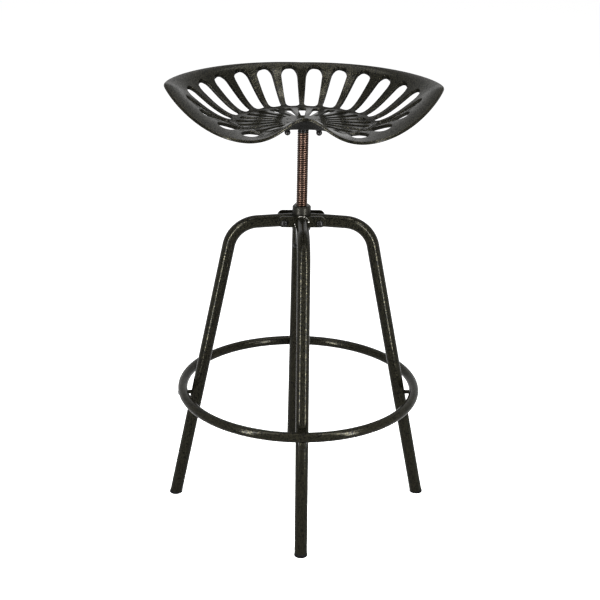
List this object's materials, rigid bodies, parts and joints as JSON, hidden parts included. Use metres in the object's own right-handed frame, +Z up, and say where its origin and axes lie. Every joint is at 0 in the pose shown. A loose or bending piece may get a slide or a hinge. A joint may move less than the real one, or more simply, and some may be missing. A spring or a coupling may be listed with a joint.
{
  "type": "stool",
  "caption": "Height-adjustable stool with a pierced tractor seat pan on a threaded spindle, bent tube legs and a round foot ring.",
  "frame": {"origin": "on the floor, under the axis of the spindle", "axes": "+Z up along the spindle, +Y to the back of the seat, +X to the right as seen from the front"},
  "size_m": [0.4962, 0.4962, 0.8115],
  "materials": {
    "hammered_enamel": "hammered black enamel with a fine bronze speckle",
    "black_hardware": "satin black",
    "spindle_steel": "oiled brown steel",
    "cap_plastic": "matte black"
  },
  "bodies": {
    "base": {"left_leg": "hammered_enamel", "left_foot_cap": "cap_plastic", "left_ring_lug": "hammered_enamel", "left_ring_bolt": "black_hardware", "right_leg": "hammered_enamel", "right_foot_cap": "cap_plastic", "right_ring_lug": "hammered_enamel", "right_ring_bolt": "black_hardware", "front_leg": "hammered_enamel", "front_foot_cap": "cap_plastic", "front_ring_lug": "hammered_enamel", "front_ring_bolt": "black_hardware", "rear_leg": "hammered_enamel", "rear_foot_cap": "cap_plastic", "rear_ring_lug": "hammered_enamel", "rear_ring_bolt": "black_hardware", "hub_collar": "hammered_enamel", "front_plate": "hammered_enamel", "rear_plate": "hammered_enamel", "left_hub_bolt": "black_hardware", "left_hub_nut": "black_hardware", "left_hub_spacer": "black_hardware", "right_hub_bolt": "black_hardware", "right_hub_nut": "black_hardware", "right_hub_spacer": "black_hardware", "foot_ring": "hammered_enamel"},
    "end_stop": {"stop_washer": "black_hardware"},
    "seat": {"spindle": "spindle_steel", "stop_screw": "black_hardware", "seat_plate": "hammered_enamel", "seat_pan": "hammered_enamel", "front_left_seat_bolt": "black_hardware", "front_left_seat_nut": "black_hardware", "front_right_seat_bolt": "black_hardware", "front_right_seat_nut": "black_hardware", "rear_left_seat_bolt": "black_hardware", "rear_left_seat_nut": "black_hardware", "rear_right_seat_bolt": "black_hardware", "rear_right_seat_nut": "black_hardware"}
  },
  "joints": [
    {"name": "height_travel", "type": "slide", "parent": "base", "child": "end_stop", "axis": [0, 0, 1], "range_m": [-0.13, 0.03]},
    {"name": "seat_turn", "type": "hinge", "parent": "end_stop", "child": "seat", "pos_m": [0, 0, 0.74], "axis": [0, 0, 1], "range_deg": [-11520, 2520]}
  ],
  "couplings": [
    {"joint": "height_travel", "follows": "seat_turn", "m_per_rad": 0.00063662}
  ]
}
